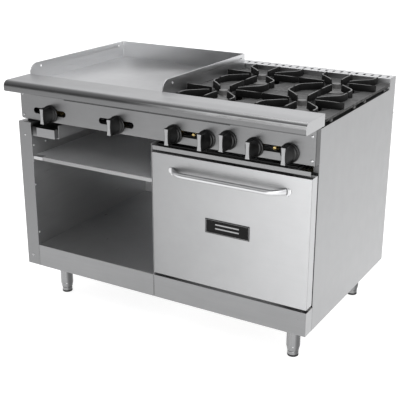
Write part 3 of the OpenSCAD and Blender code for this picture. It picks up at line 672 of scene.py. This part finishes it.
def grate(name):
    """Square casting with a round bowl, four straight fins and four curved ones that drop at the burner."""
    i, j = CELLS[name.replace("grate_", "")]
    cx, cy = BURNER_X[i], BURNER_Y[j]
    bm = bmesh.new()
    g = GRATE_HALF
    # (s)quare or (c)ircle, half width or radius, height: over the rim, down the bowl and back underneath
    rings = [("s", g, 880.2), ("s", g, 888.2), ("s", g - 0.8, 889.0), ("s", g - 5.6, 889.0), ("s", g - 7.6, 886.4),
             ("c", 104, 885.6), ("c", 98, 884.0), ("c", 74, 875.4), ("c", 69, 873.8), ("c", 66.5, 873.2),
             ("c", 67.5, 872.0), ("c", 76, 872.8), ("c", 98, 880.2)]
    loops = []
    for kind, r, z in rings:
        loop = []
        for k in range(RING_SEGMENTS):
            t = 2 * math.pi * k / RING_SEGMENTS
            c, s_ = math.cos(t), math.sin(t)
            m = r / max(abs(c), abs(s_)) if kind == "s" else r
            loop.append(bm.verts.new(P(cx + c * m, cy + s_ * m, z)))
        loops.append(loop)
    # The rim's outer wall and the bowl's lower slope, lip and underside take the darker iron: painted shade in the
    # bowl and on the rim's side.
    for step, (a, b) in enumerate(zip(loops, loops[1:] + loops[:1])):
        dark = step == 0 or 5 < step < 12
        for k in range(RING_SEGMENTS):
            m = (k + 1) % RING_SEGMENTS
            bm.faces.new((a[k], a[m], b[m], b[k])).material_index = 2 if dark else 1
    for sx, sy in ((1, 0), (-1, 0), (0, 1), (0, -1)):
        path = [P(cx + sx * d, cy + sy * d, 0) for d in (49.5, 51, 80, 115, g - 1.0)]
        tops = [905.5, 909.0] + [FIN_TOP_Z] * (len(path) - 2)
        sweep(bm, path, lambda k, tt=tops: fin_section(tt[k]))
    for mx in (1, -1):
        for my in (1, -1):
            pts = [(36.5, 36.5), (38, 38), (52, 52), (64, 64)]
            for k in range(13):
                t = math.radians(-58 + 58 * k / 12)
                pts.append((50 + 52 * math.cos(t), 122 + 52 * math.sin(t)))
            pts += [(102, 136), (102, g - 0.4)]
            tops = [905.5, 909.0] + [FIN_TOP_Z] * (len(pts) - 2)
            path = [P(cx + mx * a, cy + my * b, 0) for a, b in pts]
            sweep(bm, path, lambda k, tt=tops: fin_section(tt[k]))
    for side in (-1, 1):
        pad_x = cx + side * (g - 5.5)
        for y in (-102, 102):
            add_hex(bm, (pad_x - 4, cy + y - 8, 870.6), (pad_x + 4, cy + y + 8, 881), 1)
    finish_mesh(name + "_casting", bm, [M["grate"], M["bowl"], M["shaded_iron"]], name, (name,), 0.0)


def head(name):
    """Burner head: plug into the base, a round cap with side ports, and a post in the middle."""
    i, j = CELLS[name.replace("burner_head_", "")]
    cx, cy = BURNER_X[i], BURNER_Y[j]
    bm = bmesh.new()
    seat, up = P(cx, cy, HEAD_SEAT_Z), (0, 0, 1)
    lathe(bm, seat, up,
          [(0, -8), (16.4, -8), (17, -7.4), (17, 0), (42.4, 0), (43.8, 1.2), (44, 3.0), (44, 11.0), (43.2, 12.6),
           (41.0, 13.8), (31.0, 18.4), (22.0, 19.6)], 56)
    lathe(bm, seat, up,
          [(22.0, 19.6), (18.4, 20.6), (16.9, 22.6), (16.4, 25), (16.2, 39.2), (15.4, 40.6), (13.5, 41.0),
           (0, 41.0)], 56, 2)
    # Each port is a shallow black dimple: painted shade standing in for the port hole.
    for k in range(PORTS):
        t = 2 * math.pi * (k + 0.5) / PORTS
        c = P(cx + PORT_RADIUS * math.cos(t), cy + PORT_RADIUS * math.sin(t), PORT_Z)
        lathe(bm, c, (math.cos(t), math.sin(t), 0),
              [(0, 0), (2.6, 0), (2.6, 1.1), (1.9, 1.1), (1.9, 0.2), (0, 0.2)], 12, 1)
    finish_mesh(name + "_casting", bm, [M["burner"], M["port_shade"], M["stem"]], name, (name,), 0.0)


for key in CELLS:
    grate("grate_" + key)
    head("burner_head_" + key)


# ---------------------------------------------------------------- handle, badge, screws, legs

FACE_GAP = 0.1                     # fittings stand this far off the door's face
HANDLE_Z, HANDLE_RADIUS = 657.0, 9.2


def door_handle():
    """Bent tube flattened at both ends, with end rosettes and a screw under each."""
    bm = bmesh.new()
    pts = [(86, -0.6), (90, -3.0), (99, -12), (111, -22.5), (124, -31), (138, -35.4), (156, -36)]
    pts += [(x, -36) for x in range(190, 430, 30)]
    pts += [(454, -36), (472, -35.4), (486, -31), (499, -22.5), (511, -12), (520, -3.0), (524, -0.6)]
    path = [P(x, y, HANDLE_Z) for x, y in pts]
    n = len(path)

    def section(k):
        e = min(k, n - 1 - k)
        flat = (0.5, 0.62, 0.8, 0.95)[e] if e < 4 else 1.0
        wide = (1.25, 1.2, 1.1, 1.02)[e] if e < 4 else 1.0
        turns = [2 * math.pi * i / 28 for i in range(28)]
        return [(HANDLE_RADIUS * flat * math.cos(t), HANDLE_RADIUS * wide * math.sin(t)) for t in turns]

    sweep(bm, path, section)
    for x, screw_x in ((83, 85), (527, 525)):
        lathe(bm, P(x, -FACE_GAP, HANDLE_Z), (0, -1, 0),
              [(0, 0), (11.5, 0), (12, 0.6), (11.6, 1.8), (10.0, 2.4), (0, 2.6)], 40)
        lathe(bm, P(screw_x, -FACE_GAP, HANDLE_Z - 13), (0, -1, 0),
              [(0, 0), (4.6, 0), (4.6, 1.4), (3.6, 2.6), (2.0, 2.9), (1.9, 1.6), (0, 1.6)], 28)
    finish_mesh("door_handle_tube", bm, M["tube"], "oven_door", ("door_handle",), 0.0)


def badge():
    """Plain dark plate with a thin rim line and two plain bars; it carries no lettering."""
    x0, x1, z0, z1 = 219.0, 391.0, 455.0, 508.0
    inset, line = 2.6, 1.0
    bm = bmesh.new()
    add_hex(bm, (x0, -1.5, z0), (x1, -0.15, z1), 0)
    finish_mesh("badge_plate_enamel", bm, M["badge"], "oven_door", ("badge_plate",), 0.8, 3)
    bm = bmesh.new()
    left, right, low, high = x0 + inset, x1 - inset, z0 + inset, z1 - inset
    for lo, hi in (((left, low), (right, low + line)), ((left, high - line), (right, high)),
                   ((left, low + line), (left + line, high - line)),
                   ((right - line, low + line), (right, high - line))):
        add_hex(bm, (lo[0], -1.95, lo[1]), (hi[0], -1.45, hi[1]))
    for z in (488.5, 474.0):
        add_hex(bm, (259, -2.0, z), (351, -1.45, z + 4.6))
    finish_mesh("badge_plate_lines", bm, M["insert"], "oven_door", (), 0.0, smooth=False)


# x, y, z and head radius of each screw on the control panel and the left post
SCREWS = [(594, PANEL_Y, 846, 5.2), (596, PANEL_Y, 766, 5.2), (-598, PANEL_Y, 764, 4.6), (-598, PANEL_Y, 846, 4.6),
          (-584, 0, 191, 4.4), (-580.5, 0, 692, 4.4)]
WALL_X = -551.2                    # inner face of the storage bay's left wall
WALL_RIVETS = ((7.5, 493), (10.3, 293), (12.2, 651.5), (80.7, 652))


def pan_screw(bm, x, y, z, r):
    """Pan head with a small recess, sitting on a face that looks to the front."""
    lathe(bm, P(x, y, z), (0, -1, 0),
          [(0, 0), (r, 0), (r * 1.02, 0.5), (r * 0.9, 1.3), (r * 0.62, 1.8), (r * 0.3, 1.9), (r * 0.26, 1.1),
           (0, 1.1)], 32)


def screws():
    bm = bmesh.new()
    for x, y, z, r in SCREWS:
        pan_screw(bm, x, y, z, r)
    finish_mesh("panel_screws_heads", bm, M["screw"], "range_body", ("panel_screws",), 0.0)


def rivets():
    bm = bmesh.new()
    for y, z in WALL_RIVETS:
        lathe(bm, P(WALL_X, y, z), (1, 0, 0), [(0, 0), (4.2, 0), (4.0, 0.9), (2.6, 1.9), (0, 2.3)], 24)
    finish_mesh("storage_rivets", bm, M["rivet"], "range_body")


def post_cap():
    """Folded top of the left front post, just under the control panel."""
    bm = bmesh.new()
    add_hex(bm, (-608.0, 1.6, 742.2), (-553.0, 50.0, 743.2))
    finish_mesh("left_post_cap", bm, M["side"], "range_body", bevel=0.2, smooth=False)


def ledge():
    """Front ledge as one bent sheet: broad roll at the top of the nose, tight bend under it, folded ends."""
    lo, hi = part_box("front_ledge")
    x0, x1 = lo[0] / MM, hi[0] / MM
    y0, y1 = lo[1] / MM + Y_MID, hi[1] / MM + Y_MID
    z0, z1 = lo[2] / MM, hi[2] / MM
    sheet, roll, tight, steps = 1.5, 22.0, 7.0, 12
    inset = 0.4                        # keeps the bent sheet's ends behind the end caps

    def outline(i):
        """Side view of the sheet, i mm in from its outer face."""
        pts = [(y1 - i, 884.0), (y1 - i, z1 - i)]
        for k in range(steps + 1):
            t = math.pi / 2 * (1 + k / steps)
            pts.append((y0 + roll + (roll - i) * math.cos(t), z1 - roll + (roll - i) * math.sin(t)))
        for k in range(7):
            t = math.pi * (1 + k / 12)
            pts.append((y0 + tight + (tight - i) * math.cos(t), z0 + tight + (tight - i) * math.sin(t)))
        return pts + [(51.0, z0 + i)]

    bm = bmesh.new()
    outer, inner = outline(0.0), outline(sheet)
    loop = outer + inner[::-1]
    a = [bm.verts.new(P(x0 + inset, y, z)) for y, z in loop]
    b = [bm.verts.new(P(x1 - inset, y, z)) for y, z in loop]
    n = len(outer)
    for k in range(len(loop)):
        m = (k + 1) % len(loop)
        bm.faces.new((a[k], a[m], b[m], b[k]))
    for ring in (a, b):
        for k in range(n - 1):
            bm.faces.new((ring[k], ring[k + 1], ring[2 * n - 2 - k], ring[2 * n - 1 - k]))
    for x in (x0, x1 - sheet):
        cap = outer[1:-1] + [(y1, z0)]
        front_v = [bm.verts.new(P(x, y, z)) for y, z in cap]
        back_v = [bm.verts.new(P(x + sheet, y, z)) for y, z in cap]
        bm.faces.new(front_v)
        bm.faces.new(list(reversed(back_v)))
        for k in range(len(cap)):
            m = (k + 1) % len(cap)
            bm.faces.new((front_v[k], front_v[m], back_v[m], back_v[k]))
    finish_mesh("front_ledge_sheet", bm, M["rail"], "range_body", ("front_ledge",), 0.5, 2, angle=60)


LEG_X, LEG_FRONT_Y, LEG_REAR_Y = 515.6, 118, 696
FEET = {"foot_front_left": (-LEG_X, LEG_FRONT_Y), "foot_rear_left": (-LEG_X, LEG_REAR_Y),
        "foot_front_right": (LEG_X, LEG_FRONT_Y), "foot_rear_right": (LEG_X, LEG_REAR_Y)}
TUBE_FOOT_Z = 22.4                 # lower end of the leg tubes


def legs():
    """Leg tubes as one piece, and a screw foot with a rubber pad in each."""
    up = (0, 0, 1)
    bm = bmesh.new()
    for x, y in FEET.values():
        lathe(bm, P(x, y, TUBE_FOOT_Z), up,
              [(0, 0), (20.6, 0), (21.6, 0.8), (23.6, 12.0), (24.6, 16.6), (24.9, 18.2), (24.2, 19.2), (24.2, 20.4),
               (24.9, 21.6), (24.9, 120.0), (27.0, 121.5), (27.0, 129.8), (0, 129.8)], 56)
    finish_mesh("leg_tubes", bm, M["leg"], "range_body", ("legs",), 0.0)
    for name, (x, y) in FEET.items():
        bm = bmesh.new()
        lathe(bm, P(x, y, 0), up, [(0, 7.4), (19.8, 7.4), (20.4, 8.4), (20.4, 19.6), (19.4, 21.6), (10, 21.9),
                                   (10, 60), (0, 60)], 48)
        lathe(bm, P(x, y, 0), up, [(0, 0), (18.6, 0), (20.2, 1.0), (20.6, 2.6), (20.4, 6.6), (19.4, 7.4),
                                   (0, 7.4)], 48, 1)
        finish_mesh(name + "_glide", bm, [M["leg"], M["rubber"]], name, (name,), 0.0)


door_handle()
badge()
screws()
rivets()
ledge()
post_cap()
legs()


# ---------------------------------------------------------------- stage

def plane(name, size, z, mat):
    """Square sheet that belongs to the stage; sizes in metres."""
    me = bpy.data.meshes.new(name)
    s = size / 2
    me.from_pydata([(-s, -s, z), (s, -s, z), (s, s, z), (-s, s, z)], [], [(0, 1, 2, 3)])
    o = bpy.data.objects.new(name, me)
    o.data.materials.append(mat)
    bpy.context.scene.collection.objects.link(o)


FLOOR_GLOW = 0.78                  # lifts the floor to near white
FLOOR_SIZE, FLOOR_DROP = 60.0, 0.0005      # metres
floor_graph = Graph("floor_paint")
floor_graph.set(**{"Base Color": (0.5, 0.5, 0.5, 1), "Roughness": 0.85, "Specular IOR Level": 0.1,
                   "Emission Color": (1, 1, 1, 1), "Emission Strength": FLOOR_GLOW})
plane("floor", FLOOR_SIZE, -FLOOR_DROP, floor_graph.mat)


def area(name, loc, target, size, power):
    """Rectangular soft light; places and sizes in metres, power in watts."""
    data = bpy.data.lights.new(name, "AREA")
    data.shape = "RECTANGLE"
    data.size, data.size_y = size
    data.energy = power
    o = bpy.data.objects.new(name, data)
    o.location = loc
    o.rotation_mode = "QUATERNION"
    o.rotation_quaternion = (Vector(target) - Vector(loc)).to_track_quat("-Z", "Y")
    bpy.context.scene.collection.objects.link(o)


area("key", (2.8, -2.6, 3.4), (0, 0, 0.5), (1.6, 1.6), 45)
area("top", (0.2, 0.6, 4.0), (0, 0, 0.5), (3.0, 2.0), 60)
area("front_low", (1.5, -3.6, 0.7), (-0.3, 0, 0.45), (1.2, 1.0), 45)


FLAG_DIRECTION = (-0.5, -0.85, 0.22)


def studio_world():
    """White studio with one soft dark flag low at the front left."""
    w = bpy.data.worlds.new("studio")
    bpy.context.scene.world = w
    w.use_nodes = True
    t = w.node_tree
    bg = t.nodes["Background"]
    coord = t.nodes.new("ShaderNodeTexCoord")
    dot = t.nodes.new("ShaderNodeVectorMath")
    dot.operation = "DOT_PRODUCT"
    t.links.new(coord.outputs["Generated"], dot.inputs[0])
    dot.inputs[1].default_value = Vector(FLAG_DIRECTION).normalized()
    ramp = t.nodes.new("ShaderNodeValToRGB")
    e = ramp.color_ramp.elements
    e[0].position, e[0].color = 0.72, (0.95, 0.95, 0.96, 1)
    e[1].position, e[1].color = 0.97, (0.06, 0.06, 0.06, 1)
    t.links.new(dot.outputs["Value"], ramp.inputs["Fac"])
    t.links.new(ramp.outputs["Color"], bg.inputs["Color"])
    bg.inputs["Strength"].default_value = 1.0


studio_world()

scene = bpy.context.scene
scene.view_settings.view_transform = "Standard"


# ---------------------------------------------------------------- camera

AZIMUTH, ELEVATION = math.radians(30.70), math.radians(19.95)
LENS, SENSOR = 76.9, 36.0
CAMERA_PLACE = (1.608, -2.7395, 1.572)     # metres

cam_data = bpy.data.cameras.new("camera")
cam_data.lens = LENS
cam_data.sensor_width = SENSOR
cam_data.clip_start, cam_data.clip_end = 0.1, 100
cam = bpy.data.objects.new("camera", cam_data)
back = Vector((math.sin(AZIMUTH) * math.cos(ELEVATION), -math.cos(AZIMUTH) * math.cos(ELEVATION),
               math.sin(ELEVATION)))
cam.rotation_mode = "QUATERNION"
cam.rotation_quaternion = (-back).to_track_quat("-Z", "Y")
cam.location = CAMERA_PLACE
scene.collection.objects.link(cam)
scene.camera = cam
